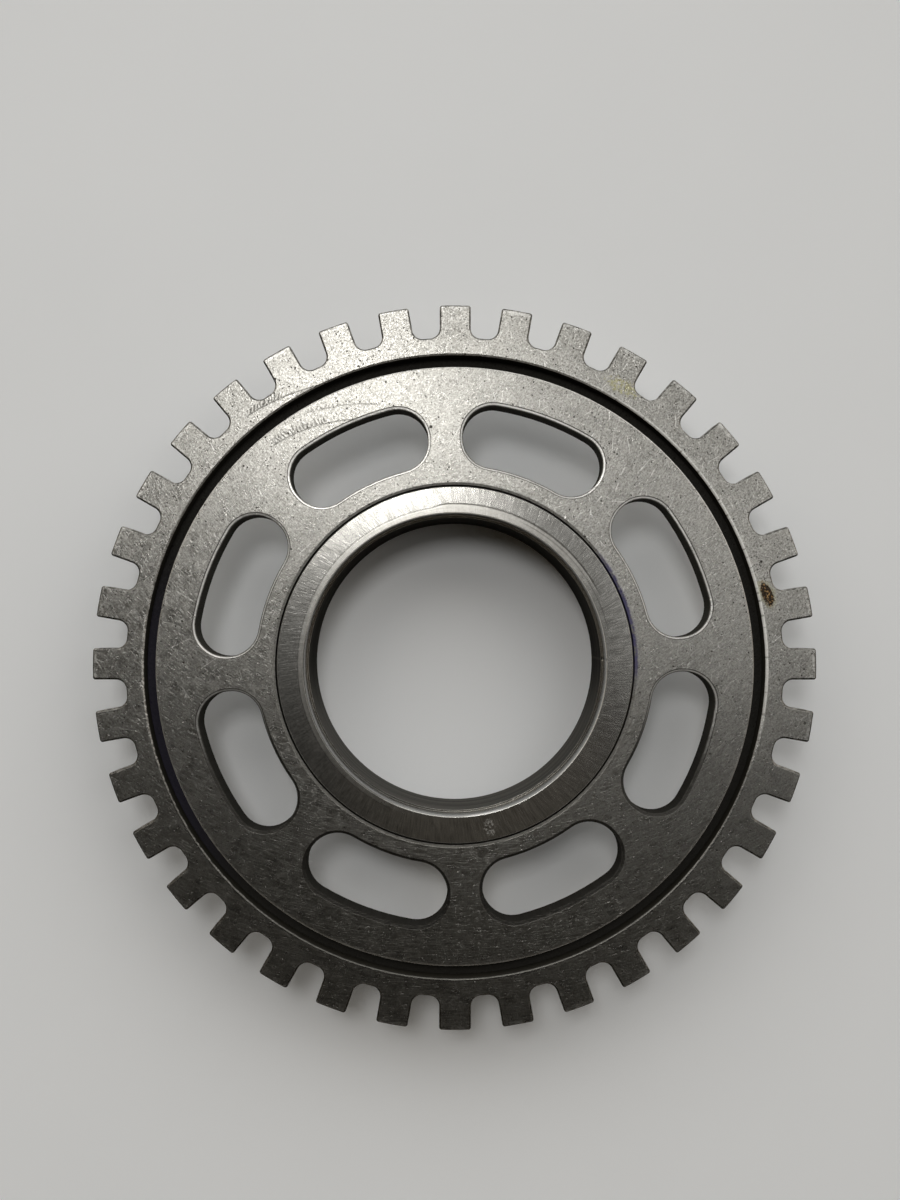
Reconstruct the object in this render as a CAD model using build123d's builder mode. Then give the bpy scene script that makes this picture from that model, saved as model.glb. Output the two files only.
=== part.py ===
from build123d import *
from math import hypot
import os

# Toothed speed-sensor wheel: a toothed ring on a slotted disc on a bored hub. Millimetres, degrees.
#
# The wheel's axis is Z. It stands on the hub's lower face at Z = 0, and its machined face looks up.
# A tooth and a slot are both centred on +X. Three concentric pieces make the wheel, each pressed on
# the next: toothed_ring on slotted_disc, slotted_disc on hub_ring. Where two of them meet they share
# one radius, groove_outer_radius or hub_seat_radius.

# Plate, which the toothed ring and the disc make together
outer_diameter = 97.0
plate_thickness = 3.5
plate_top = 11.3
plate_bottom = plate_top - plate_thickness

# Teeth: square, parallel-sided and equally spaced
tooth_count = 36
tooth_width = 4.2
tooth_height = 4.4
tooth_corner_radius = 0.35
tooth_root_radius = 1.4

# Groove between the toothed ring and the disc: a step turned in the disc's edge
groove_outer_radius = 41.7
groove_width = 1.6
groove_depth = 1.8
groove_floor_radius = 0.5

# Slots through the disc: arcs about the wheel's axis with rounded corners
slot_count = 8
slot_inner_radius = 26.8
slot_outer_radius = 35.3
slot_span = 36.2
slot_corner_radius = 4.1

# Hub: a shoulder carries the disc from below, and above its seat the hub's rim is slimmer, which
# leaves a narrow open seam around it
hub_face_rise = 0.3
hub_seat_radius = 24.15
hub_seam_width = 0.3
hub_seam_depth = 1.4
hub_shoulder_radius = 25.6

# Bore, with a shallow counterbore at the machined face
bore_radius = 20.0
counterbore_radius = 20.25
counterbore_depth = 3.1

# Edge breaks: chamfers, except for the rounded edges of the groove
tooth_edge_break = 0.22
slot_edge_break = 0.4
underside_edge_break = 0.25
groove_edge_radius = 0.25
seat_edge_break = 0.15
disc_bore_break = 0.27
hub_rim_break = 0.12
hub_foot_break = 0.6
bore_mouth_break = 0.1
bore_foot_break = 0.3

tip_radius = outer_diameter / 2
root_radius = tip_radius - tooth_height
groove_inner_radius = groove_outer_radius - groove_width
hub_rim_radius = hub_seat_radius - hub_seam_width
hub_top = plate_top + hub_face_rise
counterbore_floor = hub_top - counterbore_depth


def axis_distance(point):
    """Distance of a point or vertex from the wheel's axis."""
    return hypot(point.X, point.Y)


def rim_edges(solid, radius, height):
    """The circular edges about the wheel's axis that have this radius and lie at this height."""
    circles = solid.edges().filter_by(GeomType.CIRCLE)
    return circles.filter_by(
        lambda edge: abs(edge.radius - radius) < 1e-3
        and axis_distance(edge.arc_center) < 1e-3
        and abs(edge.arc_center.Z - height) < 1e-3
    )


# Toothed ring: its plain bore is pressed over the disc's rim
with BuildPart() as toothed_ring:
    with BuildSketch(Plane.XY.offset(plate_bottom)) as tooth_outline:
        with PolarLocations(0, tooth_count):
            Rectangle(tip_radius + 1, tooth_width, align=(Align.MIN, Align.CENTER))
        Circle(tip_radius, mode=Mode.INTERSECT)
        Circle(root_radius)
        tip_corners = tooth_outline.vertices().filter_by(lambda v: axis_distance(v) > tip_radius - 0.1)
        fillet(tip_corners, tooth_corner_radius)
        root_corners = tooth_outline.vertices().filter_by(lambda v: axis_distance(v) < root_radius + 0.1)
        fillet(root_corners, tooth_root_radius)
        Circle(groove_outer_radius, mode=Mode.SUBTRACT)
    extrude(amount=plate_thickness)
    top_face = toothed_ring.faces().sort_by(Axis.Z)[-1]
    bottom_face = toothed_ring.faces().sort_by(Axis.Z)[0]
    chamfer(top_face.outer_wire().edges() + bottom_face.outer_wire().edges(), tooth_edge_break)
    fillet(rim_edges(toothed_ring, groove_outer_radius, plate_top), groove_edge_radius)
    chamfer(rim_edges(toothed_ring, groove_outer_radius, plate_bottom), seat_edge_break)
toothed_ring.part.label = "toothed_ring"


# Outline of one slot, centred on +X
with BuildSketch() as slot_outline:
    with BuildLine():
        outer_arc = CenterArc((0, 0), slot_outer_radius, -slot_span / 2, slot_span)
        inner_arc = CenterArc((0, 0), slot_inner_radius, -slot_span / 2, slot_span)
        Line(outer_arc @ 0, inner_arc @ 0)
        Line(outer_arc @ 1, inner_arc @ 1)
    make_face()
    fillet(slot_outline.vertices(), slot_corner_radius)


# Slotted disc: carries the toothed ring on its stepped edge
with BuildPart() as slotted_disc:
    with BuildSketch(Plane.XY.offset(plate_bottom)):
        Circle(groove_outer_radius)
        Circle(hub_seat_radius, mode=Mode.SUBTRACT)
    extrude(amount=plate_thickness)
    with BuildSketch(Plane.XY.offset(plate_top)):
        Circle(groove_outer_radius)
        Circle(groove_inner_radius, mode=Mode.SUBTRACT)
    extrude(amount=-groove_depth, mode=Mode.SUBTRACT)
    fillet(rim_edges(slotted_disc, groove_inner_radius, plate_top - groove_depth), groove_floor_radius)
    fillet(rim_edges(slotted_disc, groove_inner_radius, plate_top), groove_edge_radius)
    chamfer(rim_edges(slotted_disc, groove_outer_radius, plate_bottom), seat_edge_break)
    chamfer(rim_edges(slotted_disc, hub_seat_radius, plate_top), disc_bore_break)
    with BuildSketch(Plane.XY.offset(plate_top)):
        with PolarLocations(0, slot_count):
            add(slot_outline.sketch)
    extrude(amount=-plate_thickness, mode=Mode.SUBTRACT)
    top_face = slotted_disc.faces().filter_by(Axis.Z).sort_by(Axis.Z)[-1]
    bottom_face = slotted_disc.faces().filter_by(Axis.Z).sort_by(Axis.Z)[0]
    for face, edge_break in ((top_face, slot_edge_break), (bottom_face, underside_edge_break)):
        slot_wires = [wire for wire in face.inner_wires() if len(wire.edges()) > 1]
        chamfer([edge for wire in slot_wires for edge in wire.edges()], edge_break)
slotted_disc.part.label = "slotted_disc"


# Hub ring: a turned barrel with a seat for the disc above its shoulder
with BuildPart() as hub_ring:
    with BuildSketch(Plane.XZ):
        with BuildLine():
            Polyline(
                (bore_radius, 0),
                (hub_shoulder_radius, 0),
                (hub_shoulder_radius, plate_bottom),
                (hub_seat_radius, plate_bottom),
                (hub_seat_radius, plate_top - hub_seam_depth),
                (hub_rim_radius, plate_top - hub_seam_depth),
                (hub_rim_radius, hub_top),
                (counterbore_radius, hub_top),
                (counterbore_radius, counterbore_floor),
                (bore_radius, counterbore_floor),
                close=True,
            )
        make_face()
    revolve(axis=Axis.Z)
    chamfer(rim_edges(hub_ring, hub_shoulder_radius, 0), hub_foot_break)
    chamfer(rim_edges(hub_ring, hub_shoulder_radius, plate_bottom), underside_edge_break)
    chamfer(rim_edges(hub_ring, hub_rim_radius, hub_top), hub_rim_break)
    chamfer(rim_edges(hub_ring, counterbore_radius, hub_top), bore_mouth_break)
    chamfer(rim_edges(hub_ring, bore_radius, 0), bore_foot_break)
hub_ring.part.label = "hub_ring"


os.makedirs("parts", exist_ok=True)
export_step(toothed_ring.part, "parts/toothed_ring.step")
export_step(slotted_disc.part, "parts/slotted_disc.step")
export_step(hub_ring.part, "parts/hub_ring.step")
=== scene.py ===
import math

import bpy
from mathutils import Matrix, Vector

# Looks for the toothed sensor wheel. Metres in the scene. Inside the materials every length is in
# millimetres, in the model's own frame: Z is the wheel's axis and angles are counted from +X.

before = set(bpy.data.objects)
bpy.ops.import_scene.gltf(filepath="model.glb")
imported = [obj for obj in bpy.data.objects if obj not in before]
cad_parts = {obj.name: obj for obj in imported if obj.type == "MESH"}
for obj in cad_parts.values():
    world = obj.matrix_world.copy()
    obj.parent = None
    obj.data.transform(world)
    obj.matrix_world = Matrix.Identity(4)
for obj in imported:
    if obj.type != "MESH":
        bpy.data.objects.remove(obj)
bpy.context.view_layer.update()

MM = 0.001
VIEW_UP = 110.0  # the direction, in degrees from +X, that is up in the main view

# Sizes of the wheel, as in the CAD
PLATE_TOP = 11.3
HUB_TOP = 11.6
TIP_RADIUS = 48.5
ROOT_RADIUS = 44.1
GROOVE_INNER = 40.1
GROOVE_OUTER = 41.7
SEAM_INNER = 23.85
SEAM_OUTER = 24.15
COUNTERBORE_FLOOR = 8.5
SLOT_EDGE_BREAK = 0.4
RIM_RADIUS = 41.0  # roughly the radius of the groove's two rims
HUB_RADIUS = 22.0  # middle of the hub's face


# ---------------------------------------------------------------- node building

class Value:
    """A node's output that can be used in arithmetic with numbers and other outputs."""

    def __init__(self, graph, socket):
        self.graph = graph
        self.socket = socket

    def __add__(self, other):
        return self.graph.math("ADD", self, other)

    def __radd__(self, other):
        return self.graph.math("ADD", other, self)

    def __sub__(self, other):
        return self.graph.math("SUBTRACT", self, other)

    def __rsub__(self, other):
        return self.graph.math("SUBTRACT", other, self)

    def __mul__(self, other):
        return self.graph.math("MULTIPLY", self, other)

    def __truediv__(self, other):
        return self.graph.math("DIVIDE", self, other)

    def __abs__(self):
        return self.graph.math("ABSOLUTE", self)


class Graph:
    """One material's node tree. Its p, x, y, z and r are the place in millimetres, angle is in degrees."""

    MIX_SOCKETS = {"FLOAT": (2, 3, 0), "VECTOR": (4, 5, 1), "RGBA": (6, 7, 2)}  # first, second, result

    def __init__(self, name):
        self.material = bpy.data.materials.new(name)
        self.material.use_nodes = True
        self.tree = self.material.node_tree
        self.shader = next(n for n in self.tree.nodes if n.type == "BSDF_PRINCIPLED")
        coords = self.tree.nodes.new("ShaderNodeTexCoord").outputs["Object"]
        self.p = self.vector("SCALE", coords, scale=1 / MM)
        self.x, self.y, self.z = self.split(self.p)
        self.r = self.math("SQRT", self.x * self.x + self.y * self.y)
        self.angle = self.math("ARCTAN2", self.y, self.x) * (180 / math.pi)
        geometry = self.tree.nodes.new("ShaderNodeNewGeometry")
        self.normal = geometry.outputs["Normal"]
        self.up = self.split(self.normal)[2]

    def put(self, socket, value):
        if isinstance(value, Value):
            value = value.socket
        if isinstance(value, bpy.types.NodeSocket):
            self.tree.links.new(value, socket)
        elif isinstance(value, tuple) and len(value) == 3 and len(socket.default_value) == 4:
            socket.default_value = (*value, 1.0)
        else:
            socket.default_value = value

    def math(self, operation, a, b=None, c=None):
        node = self.tree.nodes.new("ShaderNodeMath")
        node.operation = operation
        for socket, value in zip(node.inputs, (a, b, c)):
            if value is not None:
                self.put(socket, value)
        return Value(self, node.outputs[0])

    def most(self, first, *others):
        """The largest of these."""
        for other in others:
            first = self.math("MAXIMUM", first, other)
        return first

    def turn_from(self, angle):
        """Degrees round the axis from this angle, 0 to 180 both ways."""
        return abs(self.math("WRAP", self.angle - angle, 180.0, -180.0))

    def vector(self, operation, a, b=None, scale=None):
        node = self.tree.nodes.new("ShaderNodeVectorMath")
        node.operation = operation
        self.put(node.inputs[0], a)
        if b is not None:
            self.put(node.inputs[1], b)
        if scale is not None:
            self.put(node.inputs["Scale"], scale)
        return Value(self, node.outputs["Value" if operation == "DOT_PRODUCT" else "Vector"])

    def split(self, vector):
        node = self.tree.nodes.new("ShaderNodeSeparateXYZ")
        self.put(node.inputs[0], vector)
        return [Value(self, output) for output in node.outputs]

    def join(self, x, y, z=0.0):
        node = self.tree.nodes.new("ShaderNodeCombineXYZ")
        for socket, value in zip(node.inputs, (x, y, z)):
            self.put(socket, value)
        return Value(self, node.outputs[0])

    def step(self, value, low, high):
        """0 below low, 1 above high, smooth between; the other way round if low is above high."""
        node = self.tree.nodes.new("ShaderNodeMapRange")
        node.interpolation_type = "SMOOTHSTEP"
        plain = not isinstance(low, Value) and not isinstance(high, Value)
        flip = plain and low > high
        self.put(node.inputs["Value"], value)
        self.put(node.inputs["From Min"], high if flip else low)
        self.put(node.inputs["From Max"], low if flip else high)
        self.put(node.inputs["To Min"], 1.0 if flip else 0.0)
        self.put(node.inputs["To Max"], 0.0 if flip else 1.0)
        return Value(self, node.outputs[0])

    def window(self, value, low, high, soft):
        """1 between low and high, fading out over soft on both sides."""
        return self.step(value, low - soft, low) * self.step(value, high + soft, high)

    def noise(self, vector, size, detail=2.0, roughness=0.5):
        """Smooth noise from 0 to 1 with features of this size in millimetres."""
        node = self.tree.nodes.new("ShaderNodeTexNoise")
        self.put(node.inputs["Vector"], vector)
        self.put(node.inputs["Scale"], 1.0 / size)
        self.put(node.inputs["Detail"], detail)
        self.put(node.inputs["Roughness"], roughness)
        return Value(self, node.outputs["Fac"])

    def cells(self, vector, size, dimensions="3D"):
        """A Voronoi pattern: distance to the nearest point, the point, and three random numbers."""
        node = self.tree.nodes.new("ShaderNodeTexVoronoi")
        node.voronoi_dimensions = dimensions
        self.put(node.inputs["Vector"], vector)
        self.put(node.inputs["Scale"], 1.0 / size)
        colour = self.split(node.outputs["Color"])
        return Value(self, node.outputs["Distance"]), Value(self, node.outputs["Position"]), colour

    def mixed(self, kind, factor, a, b):
        node = self.tree.nodes.new("ShaderNodeMix")
        node.data_type = kind
        first, second, result = self.MIX_SOCKETS[kind]
        self.put(node.inputs[0], factor)
        self.put(node.inputs[first], a)
        self.put(node.inputs[second], b)
        return Value(self, node.outputs[result])

    def mix(self, factor, a, b):
        """Colour a where factor is 0, b where it is 1."""
        return self.mixed("RGBA", factor, a, b)

    def blend(self, factor, a, b):
        """Plain number a where factor is 0, b where it is 1."""
        return self.mixed("FLOAT", factor, a, b)

    def shade(self, colour, factor):
        """The colour times a number."""
        return self.vector("SCALE", colour, scale=factor)

    def turned(self, vector, angle):
        """The vector turned about Z by this angle in radians."""
        node = self.tree.nodes.new("ShaderNodeVectorRotate")
        node.rotation_type = "Z_AXIS"
        self.put(node.inputs["Vector"], vector)
        self.put(node.inputs["Angle"], angle)
        return Value(self, node.outputs[0])

    def rounded_normal(self, radius):
        """The normal as if edges were rounded to this radius in millimetres."""
        node = self.tree.nodes.new("ShaderNodeBevel")
        node.samples = 6
        self.put(node.inputs["Radius"], radius * MM)
        return Value(self, node.outputs[0])

    def edge_mask(self, round_normal):
        """1 beside an edge, where the rounded normal turns away from the surface's own."""
        return self.step(self.vector("DOT_PRODUCT", round_normal, self.normal), 0.998, 0.955)

    def eased(self, normal, amount):
        """The normal turned towards the axis direction by this amount from 0 to 1, as on a peened edge."""
        return self.vector("NORMALIZE", self.mixed("VECTOR", amount, normal, (0.0, 0.0, 1.0)))

    def bump(self, height, depth, normal=None):
        """Height 1 stands depth millimetres proud of height 0."""
        node = self.tree.nodes.new("ShaderNodeBump")
        self.put(node.inputs["Height"], height)
        self.put(node.inputs["Distance"], depth * MM)
        if normal is not None:
            self.put(node.inputs["Normal"], normal)
        return Value(self, node.outputs[0])

    def finish(self, colour, roughness, normal, metallic=1.0):
        """Wire up the shader, without the plastic-like gloss that non-metal parts would get."""
        self.shader.inputs["Specular IOR Level"].default_value = 0.0
        self.put(self.shader.inputs["Base Color"], colour)
        self.put(self.shader.inputs["Roughness"], roughness)
        self.put(self.shader.inputs["Normal"], normal)
        self.put(self.shader.inputs["Metallic"], metallic)
        return self.material


def scratch_layer(g, cell, length, width, keep, shift, direction=0.0, spread=360.0, axes=None):
    """Straight scratches, at most one in each cell of a flat pattern, at a random place and angle.

    A scratch that is longer than its cell is cut by the cell's edge. The share of cells that have one is
    keep, and the angles lie between direction and direction + spread, in degrees.
    """
    x, y = axes or (g.x, g.y)
    flat = g.join(x + shift, y - shift * 0.7, 0.0)
    _, point, chance = g.cells(flat, cell, "2D")
    local = g.vector("SUBTRACT", flat, point)
    u, v, _ = g.split(g.turned(local, chance[0] * math.radians(spread) + math.radians(direction)))
    along = g.step(abs(u), length * 0.5, length * 0.25)
    across = g.step(abs(v), width, width * 0.4)
    return along * across * g.step(chance[2], 1 - keep, 1.0)


def spots(g, vector, cell, radius, keep, dimensions="3D"):
    """Round specks of random size, at most one in each cell. The share of cells that have one is keep."""
    distance, _, chance = g.cells(vector, cell, dimensions)
    size = chance[0] * radius + radius * 0.25
    inside = g.step(distance * cell - size, 0.0, -radius * 0.35)
    return inside * g.step(chance[1], 1 - keep, 1 - keep + 0.02)


def polar(g, centre):
    """Distance from a point of the model, and the direction round it in radians."""
    dx = g.x - centre[0]
    dy = g.y - centre[1]
    return g.math("SQRT", dx * dx + dy * dy), g.math("ARCTAN2", dy, dx)


def local_axes(g, x, y, direction):
    """Flat coordinates from a point of the model, the first one along the direction in degrees."""
    turn = math.radians(direction)
    dx = g.x - x
    dy = g.y - y
    return dx * math.cos(turn) + dy * math.sin(turn), dy * math.cos(turn) - dx * math.sin(turn)


def blotch(g, x, y, direction, half_length, half_width, raggedness=0.35, grain=0.5):
    """1 inside an oval patch with a ragged edge, 0 outside."""
    u, v = local_axes(g, x, y, direction)
    u = u * (1 / half_length)
    v = v * (1 / half_width)
    reach = g.math("SQRT", u * u + v * v) + (g.noise(g.p, grain, 3.0, 0.6) - 0.5) * (2 * raggedness)
    return g.step(reach, 1.05, 0.75)


def hatch(g, centre, radius, width, start, end, pitch, lean):
    """Chatter marks: short ticks across an arc, and the arc itself along their inner ends.

    Start and end are angles round the centre in degrees, pitch is the ticks' spacing and lean their slant.
    """
    distance, angle = polar(g, centre)
    angle = angle * (180 / math.pi)
    along = angle * (radius * math.pi / 180)
    shift = g.noise(g.p, 1.3, 2.0) * 1.1
    ticks = g.math("SINE", (along + distance * lean + shift) * (2 * math.pi / pitch))
    ragged = g.noise(g.join(along / pitch, 0.0), 1.0, 2.0)
    out = distance - radius
    ticks = g.step(ticks, 0.15, 0.60) * g.step(out, ragged * (2 * width), ragged * (2 * width) - 0.25)
    ticks = ticks * g.step(out, 0.0, 0.12) * g.window(angle, start, end, 2.0)
    line = g.window(abs(out), -1.0, 0.03, 0.10) * g.window(angle, start - 14.0, end, 3.0)
    return g.most(ticks, line * 0.8)


# ---------------------------------------------------------------- steel

STEEL = (0.520, 0.512, 0.484)
DULL_STEEL = (0.300, 0.293, 0.270)
# painted shade: the next two colours darken the walls of the teeth and slots, and tooth edges, rims,
# chamfers and the bore's mouth where shade falls
PAINTED_SHADE_STEEL = (0.045, 0.043, 0.038)
SLOT_WALL_SHADE = (0.026, 0.025, 0.021)
GROOVE_WALL = (0.026, 0.024, 0.019)
SEAM_DIRT = (0.050, 0.048, 0.041)
# dark pits, specks and marks, and painted shade in thin lines along the slots' edges
PITS_AND_EDGE_SHADE = (0.040, 0.037, 0.032)
# scratches, bright grain and worn edges, and painted highlights on the groove's lips, the slots' chamfers
# and the hub
BRIGHT = (0.800, 0.795, 0.770)
# dirt in the groove and the seam, and painted shade on the slot walls of the shade side
GRIME_AND_SHADE = (0.014, 0.013, 0.011)
BLUED = (0.070, 0.060, 0.200)
RUST_DARK = (0.018, 0.010, 0.004)
RUST_PALE = (0.420, 0.250, 0.100)
OIL_STAIN = (0.460, 0.430, 0.160)

# The hub's own colours, in pairs: the darkest and the lightest of a streaky surface
HUB_FACE = ((0.330, 0.325, 0.300), (0.830, 0.820, 0.785))
HUB_PRINT = ((0.430, 0.418, 0.386), (0.680, 0.666, 0.630))
HUB_PRINT_LINE = (0.090, 0.085, 0.072)
COUNTERBORE_WALL = ((0.30, 0.295, 0.275), (0.50, 0.495, 0.47))
COUNTERBORE_SHADE = (0.090, 0.086, 0.075)
BORE_WALL = ((0.030, 0.028, 0.024), (0.085, 0.081, 0.070))
BARREL = ((0.34, 0.335, 0.31), (0.58, 0.575, 0.545))
FOOT = ((0.40, 0.395, 0.37), (0.60, 0.595, 0.565))
LEDGE_PAINTED_LIGHT = (0.60, 0.55, 0.47)  # painted highlight on the counterbore's floor, on the half at the top of the main view
# painted shade on the counterbore's floor, on the shade side
LEDGE_PAINTED_SHADE = (0.20, 0.19, 0.165)

# Single marks: places in millimetres, directions in degrees
GRINDING_CENTRE = (-15.4, 42.3)
STROKE_TURN = 72.0
STAIN_PLACE = (8.7, 42.9)
STAIN_TURN = 175.0
RUST_PLACE = (36.14, 23.15)
RUST_TURN = -47.0
TRAIL_PLACE = (34.04, 26.38)
TRAIL_TURN = 140.0
RING_CHATTER_CENTRE = (-14.6, 4.9)
DISC_CHATTER_CENTRE = (-14.56, 4.92)
GLINT_PLACE = (11.75, -18.86)
GLINT_TURN = -58.1
CHIP_PLACE = (18.68, 7.43)

# Directions from the axis, in degrees from +X, of the middle or of the start and end of marked parts:
# worn, tinted and printed ones, and the painted highlights and painted shade on the groove's lip and the
# bore's mouth
LIP_HIGHLIGHT_TURN = 30.0
LIP_WEAK_HIGHLIGHT_TURN = 215.0
GROOVE_TINT_TURN = -148.0
TEMPER_TURNS = (22.0, 50.0)
PRINT_STRONG_TURNS = (52.0, 112.0)
PRINT_WEAK_TURNS = (118.0, 262.0)
INNER_LINE_TURNS = (38.0, 80.0)
MOUTH_SHADE_TURNS = (196.0, 258.0)
MOUTH_GLINT_TURNS = (297.0, 305.0)
MOUTH_NICKED_TURNS = (250.0, 330.0)

PRINT_RADIUS = 21.44
PRINT_STEP = 0.40  # how far the print's line steps inwards, between the turns of PRINT_STEP_TURNS
PRINT_STEP_TURNS = (113.0, 120.0)
INNER_LINE_RADIUS = 20.95

BUMP_PLATE = 0.016  # height of the steel's relief
BUMP_HUB = 0.011


def nicked(g, size, low, high):
    """1 along most of a rim beside the groove, with short gaps at random angles."""
    arc = g.join(g.angle * (RIM_RADIUS * math.pi / 180) / size, 7.0)
    return g.step(g.noise(arc, 1.0, 2.0, 0.6), low, high)


def lower_half(g):
    """1 on the half of the wheel that is at the bottom of the main view, the side that the light leaves
    dim. It places painted light and shade: painted shade on this half, and on the other half a painted
    highlight on the counterbore's floor and painted shade on the bore's wall.
    """
    return g.step(g.math("SINE", (g.angle - (VIEW_UP - 90.0)) * (math.pi / 180)), 0.05, -0.45)


def plate_steel(name, shift, streaks, pitting, depth):
    """Tumbled plate: matte grey, fine streaks in two crossing directions, pits and handling scratches.

    The shift makes one piece's pattern differ from the other's, streaks is the share of streaks in the
    tone, pitting the share of cells with a pit, and depth the strength of the fine grain.
    """
    g = Graph(name)
    place = g.vector("ADD", g.p, (shift, shift * 0.6, 0.0))
    flat = g.step(abs(g.up), 0.86, 0.97)
    slope = g.step(abs(g.up), 0.30, 0.50) * (1 - flat)
    wall = 1 - g.step(abs(g.up), 0.10, 0.40)
    lower = lower_half(g)

    # tone: grain, streaks along an arc and streaks along a line
    grain = g.noise(place, 0.26, 3.0, 0.70)
    fine = g.noise(place, 0.24, 1.0, 0.5)
    cloud = g.noise(place, 9.0, 3.0, 0.55)
    patch = g.noise(place, 1.9, 3.0, 0.6)
    # painted shade: the fine grain is fainter on the shade side
    depth = g.blend(lower, depth, depth * 0.35)
    sweep, around = polar(g, GRINDING_CENTRE)
    arcs = g.noise(g.join(sweep * 8.0, around * 45.0 * 0.75), 1.0, 3.0, 0.6)
    u, v = local_axes(g, 0.0, 0.0, STROKE_TURN)
    strokes = g.noise(g.join(v * 7.5 + shift, u * 0.95), 1.0, 3.0, 0.6)
    lines = g.most(g.step(arcs, 0.48, 0.60), g.step(strokes, 0.50, 0.62))
    tone = g.step(grain, 0.34, 0.66) * (1 - streaks) + lines * streaks
    colour = g.mix(tone, DULL_STEEL, STEEL)
    colour = g.mix(g.step(fine, 0.53, 0.68) * depth, colour, BRIGHT)
    colour = g.mix(g.step(fine, 0.47, 0.30) * depth, colour, PITS_AND_EDGE_SHADE)
    mottle = g.blend(cloud, 0.88, 1.10) * g.blend(patch, 0.84, 1.12)
    # painted shade: the faces are darker on the shade side
    colour = g.shade(colour, g.blend(lower, mottle, mottle * 0.4 + 0.48))
    roughness = 0.24 + (1 - grain) * 0.10 + (patch - 0.5) * 0.10

    # dark pits and dashes
    pits = g.most(spots(g, place, 0.52, 0.12, pitting), spots(g, place, 1.8, 0.20, 0.50))
    dashes = scratch_layer(g, 0.95, 0.42, 0.060, pitting, shift + 27.9, 30.0, 110.0)
    # painted shade: pits and dashes are fainter on the shade side
    pores = g.most(pits, dashes * 0.75) * g.blend(lower, 1.0, 0.5)
    colour = g.mix(pores * 0.95, colour, PITS_AND_EDGE_SHADE)

    # bright scratches, from long to very short
    long_marks = scratch_layer(g, 4.6, 3.6, 0.060, 0.60, shift + 3.1)
    short_marks = scratch_layer(g, 1.9, 1.5, 0.065, 0.55, shift + 8.7, 25.0, 110.0)
    tiny_marks = scratch_layer(g, 0.85, 0.65, 0.060, 0.65, shift + 15.3, 25.0, 110.0)
    needles = scratch_layer(g, 0.60, 0.50, 0.050, 0.80, shift + 22.1, 100.0, 80.0)
    marks = g.most(long_marks, short_marks, tiny_marks * 0.80, needles * 0.60)
    # painted shade: scratches are fainter on the shade side
    marks = marks * flat * g.blend(lower, 1.0, 0.30)
    colour = g.mix(marks * 0.80, colour, BRIGHT)

    round_normal = g.rounded_normal(0.10)
    edge = g.edge_mask(round_normal)
    height = grain * 0.60 + fine * 0.30 - pores * 1.3 - marks * 0.30 + lines * 0.35
    return g, dict(
        place=place, flat=flat, slope=slope, wall=wall, lower=lower, colour=colour, roughness=roughness,
        marks=marks, edge=edge, height=height, round_normal=round_normal)


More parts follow.
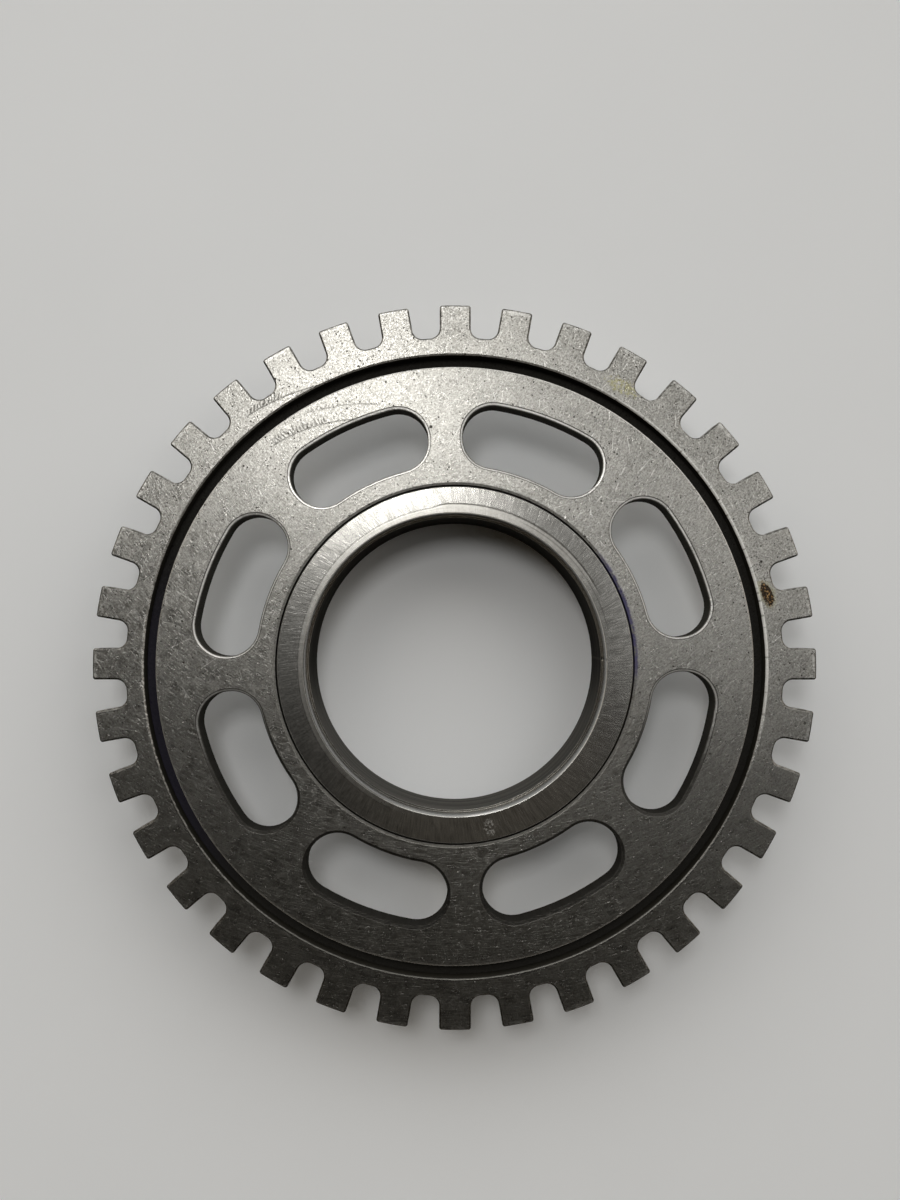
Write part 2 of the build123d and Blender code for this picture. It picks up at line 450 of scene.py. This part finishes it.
def ring_finish():
    g, m = plate_steel("ring_steel_finish", shift=0.0, streaks=0.40, pitting=0.70, depth=0.40)
    colour, lower = m["colour"], m["lower"]
    deep = g.step(g.r, GROOVE_OUTER + 0.30, GROOVE_OUTER + 0.05)
    deep = deep * g.step(g.z, PLATE_TOP - 0.12, PLATE_TOP - 0.40)

    # teeth: walls between them darkened as painted shade, ragged dark outlines of painted shade on their
    # edges, pits near the tips, and bright nicks on the tips that fade on the shade side as painted shade
    tooth_zone = g.step(g.r, ROOT_RADIUS - 1.5, ROOT_RADIUS - 0.7)
    gap = g.step(g.r, TIP_RADIUS - 0.3, TIP_RADIUS - 0.9)
    colour = g.mix(m["wall"] * g.blend(gap, 0.20, 0.50), colour, PAINTED_SHADE_STEEL)
    ragged = g.step(g.noise(m["place"], 0.8, 3.0, 0.6), 0.30, 0.60)
    colour = g.mix(m["slope"] * tooth_zone * g.blend(ragged, 0.50, 0.95), colour, PAINTED_SHADE_STEEL)
    rim_pits = spots(g, m["place"], 0.42, 0.13, 0.45) * g.step(g.r, TIP_RADIUS - 1.9, TIP_RADIUS - 0.3)
    colour = g.mix(rim_pits * m["flat"] * 0.7, colour, PITS_AND_EDGE_SHADE)
    tips = m["flat"] * g.step(g.r, TIP_RADIUS - 0.75, TIP_RADIUS - 0.45)
    tips = tips * g.step(g.noise(m["place"], 0.55, 3.0, 0.6), 0.46, 0.58) * g.blend(lower, 1.0, 0.15)
    colour = g.mix(tips * 0.70, colour, BRIGHT)

    # the groove's lip: a painted highlight with nicked gaps, full on one side, weaker and broken on the
    # other, and painted shade in its place on the shade side
    right = g.step(g.turn_from(LIP_HIGHLIGHT_TURN), 72.0, 35.0)
    left = g.step(g.turn_from(LIP_WEAK_HIGHLIGHT_TURN), 55.0, 20.0)
    left = left * g.step(g.noise(m["place"], 0.35, 2.0), 0.42, 0.58)
    lip = g.step(g.r, GROOVE_OUTER + 0.37, GROOVE_OUTER + 0.29)
    lip = lip * g.step(g.z, PLATE_TOP - 0.30, PLATE_TOP - 0.20)
    lip = lip * nicked(g, 0.50, 0.32, 0.46) * g.most(right, left * 0.6)
    deep = deep * (1 - lip * (1 - lower))
    # painted shade on the groove's rim on the shade side
    rim_shade = g.step(g.r, GROOVE_OUTER + 0.32, GROOVE_OUTER + 0.22) * lower
    colour = g.mix(rim_shade * 0.85, colour, PAINTED_SHADE_STEEL)
    edge = m["edge"] * (1 - tooth_zone * 0.75) * (1 - m["wall"])
    # worn edges, and the lip's painted highlight
    bright = g.most(edge * 0.4, lip * (1 - lower * 0.85))
    colour = g.mix(bright * 0.95, colour, BRIGHT)
    colour = g.mix(deep * 0.96, colour, GROOVE_WALL)

    # an olive oil stain beside one gap, and one rust spot with a scuffed trail near the groove
    stain = blotch(g, *STAIN_PLACE, STAIN_TURN, 2.8, 1.1, 0.80, 0.6)
    stain = stain * g.step(g.noise(g.p, 0.42, 3.0, 0.65), 0.40, 0.58)
    colour = g.mix(stain * 0.50 * m["flat"], colour, OIL_STAIN)
    rust = blotch(g, *RUST_PLACE, RUST_TURN, 1.85, 0.82, 0.45, 0.45)
    rust_tone = g.step(g.noise(g.p, 0.26, 3.0, 0.65), 0.53, 0.64)
    colour = g.mix(rust * m["flat"] * 0.95, colour, g.mix(rust_tone, RUST_DARK, RUST_PALE))
    halo = blotch(g, *RUST_PLACE, RUST_TURN, 2.3, 1.2, 0.3, 0.6)
    colour = g.mix(halo * (1 - rust) * m["flat"] * 0.22, colour, OIL_STAIN)
    trail = blotch(g, *TRAIL_PLACE, TRAIL_TURN, 2.5, 0.85, 0.5, 0.5)
    trail = trail * spots(g, m["place"], 0.32, 0.15, 0.90)
    colour = g.mix(trail * m["flat"] * 0.8, colour, PITS_AND_EDGE_SHADE)
    chatter = hatch(g, RING_CHATTER_CENTRE, 28.6, 0.9, 134.0, 142.5, 0.52, 0.35) * m["flat"]
    colour = g.mix(chatter * 0.75, colour, PITS_AND_EDGE_SHADE)

    dark = g.most(rust * m["flat"] * 0.9, deep * 0.9, m["wall"] * gap * 0.40)
    metal = 1 - dark - lip * (1 - lower) * 0.80 * (1 - dark)
    metal = metal - g.most(m["marks"] * 0.15, tips * 0.25)
    roughness = m["roughness"] + m["wall"] * 0.20 + rust * 0.35 + deep * 0.25 - bright * 0.05
    height = m["height"] - chatter * 0.6 + rust * g.noise(g.p, 0.3, 2.0) * 2.0 - rim_pits * m["flat"]
    peened = g.most(m["slope"] * tooth_zone * g.step(g.up, 0.0, 0.1), lip)
    normal = g.eased(m["round_normal"], peened * 0.55)
    return g.finish(colour, roughness, g.bump(height, BUMP_PLATE, normal), metal)


def disc_finish():
    g, m = plate_steel("disc_steel_finish", shift=41.0, streaks=0.52, pitting=0.48, depth=0.26)
    colour, lower = m["colour"], m["lower"]
    deep = g.step(g.r, GROOVE_INNER - 0.05, GROOVE_INNER + 0.05)
    deep = deep * g.step(g.z, PLATE_TOP - 0.15, PLATE_TOP - 0.45)
    inside = g.step(g.r, GROOVE_INNER - 1.2, GROOVE_INNER - 1.6)
    outside_seam = g.step(g.r, SEAM_OUTER + 0.5, SEAM_OUTER + 0.8)
    seam = g.step(g.r, SEAM_OUTER + 0.45, SEAM_OUTER + 0.30) * g.step(abs(g.up), 0.95, 0.80)
    # painted shade: the slot walls are near black, and blacker on the shade side
    colour = g.mix(m["wall"] * 0.96, colour, g.mix(lower, SLOT_WALL_SHADE, GRIME_AND_SHADE))
    lip = g.step(g.r, GROOVE_INNER - 0.36, GROOVE_INNER - 0.20)
    lip = lip * g.step(g.z, PLATE_TOP - 0.22, PLATE_TOP - 0.10) * nicked(g, 0.45, 0.34, 0.46)

    # slot edges: a chamfer painted bright as a highlight, between two thin dark lines of painted shade; on
    # the shade side the chamfer is painted dark as shade
    edge = m["edge"] * (1 - m["wall"]) * g.step(g.r, SEAM_OUTER + 0.55, SEAM_OUTER + 0.85)
    drop = (PLATE_TOP - g.z) * (1 / SLOT_EDGE_BREAK)
    edge_shade_lines = g.most(g.step(drop, 0.30, 0.16), g.step(drop, 0.66, 0.80)) * g.step(drop, 1.3, 1.1)
    edge_shade_lines = g.most(edge_shade_lines * m["slope"], edge * 0.7) * inside
    chamfer = m["slope"] * inside * (1 - edge_shade_lines) * outside_seam
    # painted shade: the chamfer is dark on the shade side
    colour = g.mix(chamfer * lower * 0.90, colour, PAINTED_SHADE_STEEL)
    # painted highlight on the groove's rim, and on the chamfer away from the shade side
    bright = g.most(lip * 0.30, chamfer * (1 - lower))
    colour = g.mix(bright * 0.8, colour, BRIGHT)
    colour = g.mix(edge_shade_lines * 0.88 * outside_seam, colour, PITS_AND_EDGE_SHADE)

    # blue-purple tempering beside the seam and in the groove, each over part of a turn
    temper = g.step(g.r, SEAM_OUTER + 0.50, SEAM_OUTER + 0.28) * g.window(g.angle, *TEMPER_TURNS, 12.0)
    temper = temper * g.step(g.noise(g.p, 0.7, 2.0), 0.30, 0.52)
    colour = g.mix(seam * 0.50, colour, SEAM_DIRT)
    colour = g.mix(temper * 0.70, colour, BLUED)
    groove_tint = g.step(g.turn_from(GROOVE_TINT_TURN), 38.0, 12.0)
    colour = g.mix(deep * 0.96, colour, GRIME_AND_SHADE)
    colour = g.mix(deep * groove_tint * 0.10, colour, BLUED)

    chatter = g.most(
        hatch(g, DISC_CHATTER_CENTRE, 23.36, 0.95, 124.0, 141.0, 0.50, -0.30),
        hatch(g, DISC_CHATTER_CENTRE, 25.4, 0.55, 120.5, 126.5, 0.55, 0.25) * 0.8)
    chatter = chatter * m["flat"]
    colour = g.mix(chatter * 0.55, colour, PITS_AND_EDGE_SHADE)

    dark = g.most(deep * 0.93, seam * 0.35, m["wall"] * 0.88)
    metal = 1 - dark - bright * 0.30 * (1 - dark) - m["marks"] * 0.15
    roughness = m["roughness"] + m["wall"] * 0.20 + dark * 0.25 - bright * 0.05 + m["slope"] * 0.05
    height = m["height"] - chatter * 0.6
    peened = g.most(m["slope"] * inside * g.step(g.up, 0.0, 0.1) * 0.85, lip * 0.5)
    normal = g.eased(m["round_normal"], peened)
    return g.finish(colour, roughness, g.bump(height, BUMP_PLATE, normal), metal)


def hub_finish():
    """Ground upper face with near-radial tool marks, and a turned bore."""
    g = Graph("hub_steel_finish")
    lower = lower_half(g)
    flat = g.step(abs(g.up), 0.80, 0.95)
    face_zone = flat * g.step(g.z, HUB_TOP - 0.20, HUB_TOP - 0.10)
    arc = g.angle * (HUB_RADIUS * math.pi / 180)
    turn = g.math("WRAP", g.angle, 360.0, 0.0)
    rings = g.noise(g.join(g.z * 6.0, g.angle * 0.02, g.r * 0.5), 1.0, 4.0, 0.6)
    bands = g.noise(g.join(g.z * 0.9, g.angle * 0.006), 1.0, 2.0, 0.5)
    speck = g.noise(g.p, 0.26, 3.0, 0.6)

    # tool marks: soft streaks, and short crisp ones, which come out long along the radius because the
    # radius is squeezed in their pattern
    streaks = g.noise(g.join((arc - g.r * 0.12) * 5.5, g.r * 0.40), 1.0, 2.0, 0.55)
    broad_streaks = g.noise(g.join((arc - g.r * 0.20) * 1.1 + 17.0, g.r * 0.45), 1.0, 2.0, 0.5)
    squeezed = (arc, g.r * 0.35)
    bright_streaks = g.most(
        scratch_layer(g, 0.40, 0.46, 0.050, 0.85, 3.7, 106.0, 24.0, squeezed),
        scratch_layer(g, 0.70, 0.80, 0.060, 0.80, 19.3, 104.0, 28.0, squeezed))
    dark_streaks = scratch_layer(g, 0.55, 0.60, 0.055, 0.85, 11.9, 104.0, 28.0, squeezed)
    tone = g.step(streaks, 0.36, 0.64) * 0.38 + g.step(broad_streaks, 0.3, 0.7) * 0.27 + 0.24
    tone = tone + bright_streaks * 0.30 - dark_streaks * 0.24
    face = g.mix(g.math("MINIMUM", g.most(tone, 0.0), 1.0), *HUB_FACE)

    # the worn print of a ring that was clamped on the face: a fine dark line that steps inwards once,
    # with duller, speckled metal between it and the bore
    print_radius = PRINT_RADIUS - g.step(turn, *PRINT_STEP_TURNS) * PRINT_STEP
    print_line = g.window(abs(g.r - print_radius), -1.0, 0.060, 0.10)
    strength = g.window(turn, *PRINT_STRONG_TURNS, 8.0) + g.window(turn, *PRINT_WEAK_TURNS, 10.0) * 0.30
    print_line = print_line * g.math("MINIMUM", strength, 1.0) * g.blend(g.noise(g.p, 1.6, 2.0), 0.5, 1.0)
    inner_line = g.window(abs(g.r - INNER_LINE_RADIUS), -1.0, 0.03, 0.08)
    inner_line = inner_line * g.window(turn, *INNER_LINE_TURNS, 8.0) * 0.5
    dull = g.step(g.r, print_radius, print_radius - 0.12)
    dull = dull * g.step(turn, 40.0, 62.0) * g.step(turn, 290.0, 250.0)
    print_tone = g.noise(g.join(g.r * 7.0, arc * 0.12), 1.0, 3.0, 0.6) * 0.6 + speck * 0.4
    face = g.mix(dull * 0.62, face, g.mix(g.step(print_tone, 0.36, 0.64), *HUB_PRINT))
    face = g.mix(g.most(print_line, inner_line) * 0.88, face, HUB_PRINT_LINE)
    # painted shade: the face is darker on the shade side
    face = g.shade(face, g.blend(lower, 1.0, 0.84))
    glint = blotch(g, *GLINT_PLACE, GLINT_TURN, 1.25, 0.75, 0.6, 0.35) * g.step(speck, 0.46, 0.60)
    face = g.mix(glint * 0.80, face, BRIGHT)

    # walls: the counterbore's, the bore's below it, and the barrel's outside
    wall_above = g.mix(rings, *COUNTERBORE_WALL)
    wall_above = g.mix(g.step(g.z, HUB_TOP - 0.7, HUB_TOP - 1.3), wall_above, COUNTERBORE_SHADE)
    wall_below = g.mix(g.step(rings, 0.35, 0.70), *BORE_WALL)
    banding = g.blend(g.step(bands, 0.38, 0.62), 0.70, 1.25)
    # painted shade: the bore's wall is darker on the half at the top of the main view
    wall_below = g.shade(wall_below, banding * g.blend(lower, 0.40, 1.0))
    above = g.step(g.z, COUNTERBORE_FLOOR - 0.05, COUNTERBORE_FLOOR + 0.05) * g.step(g.r, 23.0, 22.0)
    outside = g.step(g.r, 22.5, 23.5)
    wall = g.mix(outside, g.mix(above, wall_below, wall_above), g.mix(rings, *BARREL))
    colour = g.mix(face_zone, wall, face)
    ledge = flat * g.step(g.r, 20.6, 20.4) * g.step(g.z, 5.0, 6.0) * (1 - face_zone)
    # the counterbore's floor: a painted highlight on one half, painted shade on the other
    colour = g.mix(ledge * 0.9, colour, g.mix(lower, LEDGE_PAINTED_LIGHT, LEDGE_PAINTED_SHADE))
    under = flat * g.step(g.z, 0.2, 0.1)
    colour = g.mix(under, colour, g.mix(rings, *FOOT))
    seam = g.step(g.r, SEAM_INNER - 0.14, SEAM_INNER - 0.10) * (1 - under)
    seam = seam * g.step(g.z, PLATE_TOP - 2.0, PLATE_TOP - 1.6)
    colour = g.mix(seam * 0.85, colour, GRIME_AND_SHADE)

    # the bore's mouth: painted shade on one side, a painted glint at one spot, with dark nicks; specks on
    # the wall
    mouth = g.step(g.r, 20.75, 20.45) * g.step(g.z, HUB_TOP - 0.8, HUB_TOP - 0.3)
    rim = mouth * (1 - flat)
    mouth_shade = rim * g.window(turn, *MOUTH_SHADE_TURNS, 16.0)
    sparkle = rim * g.window(turn, *MOUTH_GLINT_TURNS, 5.0)
    colour = g.mix(mouth_shade * 0.85, colour, PAINTED_SHADE_STEEL)
    nicks = spots(g, g.join(arc, g.z, 0.0), 1.7, 0.22, 0.16, "2D")
    nicks = nicks * mouth * g.window(turn, *MOUTH_NICKED_TURNS, 15.0)
    nicks = g.most(nicks, blotch(g, *CHIP_PLACE, 0.0, 0.22, 0.22, 0.2, 0.5))
    specks = spots(g, g.join(arc, g.z * 0.6, 3.0), 2.6, 0.26, 0.22, "2D")
    specks = specks * (1 - flat) * g.step(g.r, 21.5, 21.0)
    colour = g.mix(g.most(nicks, specks) * 0.9, colour, PITS_AND_EDGE_SHADE)

    round_normal = g.rounded_normal(0.06)
    edge = g.edge_mask(round_normal) * (1 - seam) * (1 - mouth_shade)
    # worn edges, and the mouth's painted glint
    colour = g.mix(g.most(edge * 0.45, sparkle * 0.90), colour, BRIGHT)
    face_height = streaks * 0.35 - bright_streaks * 0.12 + dark_streaks * 0.10 + speck * 0.20
    face_height = face_height - print_line * 0.8
    height = g.blend(face_zone, rings, face_height) - nicks - specks
    roughness = g.blend(flat, 0.38, 0.235) + (speck - 0.5) * 0.09 - above * (1 - flat) * 0.20
    roughness = roughness + dull * face_zone * 0.06
    film = (1 - flat) * (1 - above) * (1 - outside) * g.blend(lower, 0.92, 0.75)
    metal = 1 - seam * 0.7 - glint * face_zone * 0.22 - edge * 0.08 - film * (1 - seam) - sparkle * 0.45
    return g.finish(colour, roughness, g.bump(height, BUMP_HUB, round_normal), metal)


for node_name, material in (
    ("toothed_ring", ring_finish()),
    ("slotted_disc", disc_finish()),
    ("hub_ring", hub_finish()),
):
    for material_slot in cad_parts[node_name].material_slots:
        material_slot.material = material


# ---------------------------------------------------------------- floor, light and camera

FLOOR_HALF = 3.0  # metres
FLOOR_GAP = 0.02
FLOOR_COLOURS = ((0.860, 0.880, 0.900), (0.890, 0.910, 0.930))

# Lamps: direction from the view's up and degrees off vertical, then distance, side and watts
KEY_LAMP = (18.0, 20.3, 0.372, 0.09, 0.24)
SIDE_LAMP = (-75.0, 26.0, 0.45, 0.16, 0.070)
BOUNCE_LAMP = (-165.0, 10.0, 0.30, 0.10, 0.0020)
KEY_COLOUR = (1.0, 0.985, 0.955)
SIDE_COLOUR = (1.0, 0.99, 0.97)
BOUNCE_COLOUR = (1.0, 0.86, 0.66)

TENT_LOW = 0.60  # strength at the horizon
TENT_BAND = 1.7  # strength of the bright band above it
TENT_TOP = 0.008
BAND_SINES = (0.02, 0.35, 0.68, 0.88)  # sines of the heights where the band starts, is full, ends, is gone
SHADE_TURN = 175.0  # the shaded side of the tent, in degrees from the view's up
SHADE_DEPTH = 0.97
SHADE_REACH = (-0.70, 0.20)  # cosines from that side where the shade starts and where it is full
SHADE_SINES = (0.13, 0.32)  # the shade fades in between these heights, so the horizon is lit all round
LIT_TINT = (1.0, 0.99, 0.965, 1.0)
SHADE_TINT = (1.0, 0.80, 0.55, 1.0)

# Camera fitted to the photo: where it is, in millimetres, and its back and up directions
CAMERA_PLACE = (-2.9273, 4.4724, 135.9726)
CAMERA_BACK = (0.0052249, -0.0267730, 0.9996279)
CAMERA_UP = (-0.3424492, 0.9391500, 0.0269431)
CAMERA_LENS = 27.9
SENSOR = (27.0, 36.0)


def floor_material():
    g = Graph("floor_finish")
    colour = g.mix(g.noise(g.p, 30.0, 3.0, 0.5), *FLOOR_COLOURS)
    return g.finish(colour, 0.60, g.bump(g.noise(g.p, 1.2, 2.0), 0.004), metallic=0.0)


def build_floor():
    corners = [(x * FLOOR_HALF, y * FLOOR_HALF, 0) for x, y in ((-1, -1), (1, -1), (1, 1), (-1, 1))]
    mesh = bpy.data.meshes.new("floor")
    mesh.from_pydata(corners, [], [(0, 1, 2, 3)])
    mesh.materials.append(floor_material())
    floor = bpy.data.objects.new("floor", mesh)
    floor.location.z = -FLOOR_GAP * MM
    bpy.context.scene.collection.objects.link(floor)
    return floor


def softbox(name, placing, colour):
    """A square lamp aimed at the wheel."""
    azimuth, tilt, distance, side, power = placing
    lamp = bpy.data.lights.new(name, "AREA")
    lamp.shape = "RECTANGLE"
    lamp.size = side
    lamp.size_y = side
    lamp.energy = power
    lamp.color = colour
    a = math.radians(VIEW_UP + azimuth)
    t = math.radians(tilt)
    away = Vector((math.sin(t) * math.cos(a), math.sin(t) * math.sin(a), math.cos(t)))
    box = bpy.data.objects.new(name, lamp)
    box.location = away * distance
    box.rotation_euler = away.to_track_quat("Z", "Y").to_euler()
    bpy.context.scene.collection.objects.link(box)


def build_tent():
    """A pale studio tent: dim overhead, bright near the horizon, and shaded overhead on one side."""
    world = bpy.data.worlds.new("studio")
    world.use_nodes = True
    nodes = world.node_tree.nodes
    links = world.node_tree.links
    background = next(n for n in nodes if n.type == "BACKGROUND")

    def ramp(value, start, end, low, high):
        """Smooth step from low to high."""
        node = nodes.new("ShaderNodeMapRange")
        node.interpolation_type = "SMOOTHSTEP"
        links.new(value, node.inputs["Value"])
        for socket, number in (("From Min", start), ("From Max", end), ("To Min", low), ("To Max", high)):
            node.inputs[socket].default_value = number
        return node.outputs["Result"]

    def times(first, second):
        node = nodes.new("ShaderNodeMath")
        node.operation = "MULTIPLY"
        links.new(first, node.inputs[0])
        links.new(second, node.inputs[1])
        return node.outputs[0]

    direction = nodes.new("ShaderNodeTexCoord").outputs["Generated"]
    split = nodes.new("ShaderNodeSeparateXYZ")
    links.new(direction, split.inputs[0])
    height = split.outputs["Z"]
    rise = ramp(height, BAND_SINES[0], BAND_SINES[1], TENT_LOW, TENT_BAND)
    fall = ramp(height, BAND_SINES[2], BAND_SINES[3], 1.0, TENT_TOP / TENT_BAND)
    shade_turn = math.radians(VIEW_UP + SHADE_TURN)
    towards = nodes.new("ShaderNodeVectorMath")
    towards.operation = "DOT_PRODUCT"
    towards.inputs[1].default_value = (math.cos(shade_turn), math.sin(shade_turn), 0.0)
    links.new(direction, towards.inputs[0])
    side = ramp(towards.outputs["Value"], *SHADE_REACH, 0.0, 1.0)
    shade = times(side, ramp(height, *SHADE_SINES, 0.0, 1.0))
    lit = ramp(shade, 0.0, 1.0, 1.0, 1.0 - SHADE_DEPTH)
    links.new(times(times(rise, fall), lit), background.inputs["Strength"])
    tint = nodes.new("ShaderNodeMix")
    tint.data_type = "RGBA"
    tint.inputs["A"].default_value = LIT_TINT
    tint.inputs["B"].default_value = SHADE_TINT
    links.new(shade, tint.inputs["Factor"])
    links.new(tint.outputs["Result"], background.inputs["Color"])
    bpy.context.scene.world = world


def build_camera():
    data = bpy.data.cameras.new("camera")
    data.sensor_fit = "VERTICAL"
    data.sensor_width, data.sensor_height = SENSOR
    data.lens = CAMERA_LENS
    data.clip_start = 0.005
    data.clip_end = 20.0
    camera = bpy.data.objects.new("camera", data)
    back = Vector(CAMERA_BACK)
    up = Vector(CAMERA_UP)
    right = up.cross(back)
    place = Vector(CAMERA_PLACE) * MM
    camera.matrix_world = Matrix((
        (right.x, up.x, back.x, place.x),
        (right.y, up.y, back.y, place.y),
        (right.z, up.z, back.z, place.z),
        (0, 0, 0, 1),
    ))
    bpy.context.scene.collection.objects.link(camera)
    bpy.context.scene.camera = camera


floor = build_floor()
softbox("key", KEY_LAMP, KEY_COLOUR)
softbox("side", SIDE_LAMP, SIDE_COLOUR)
softbox("bounce", BOUNCE_LAMP, BOUNCE_COLOUR)
build_tent()
build_camera()
bpy.context.scene.view_settings.view_transform = "Standard"
bpy.context.scene.view_settings.look = "None"
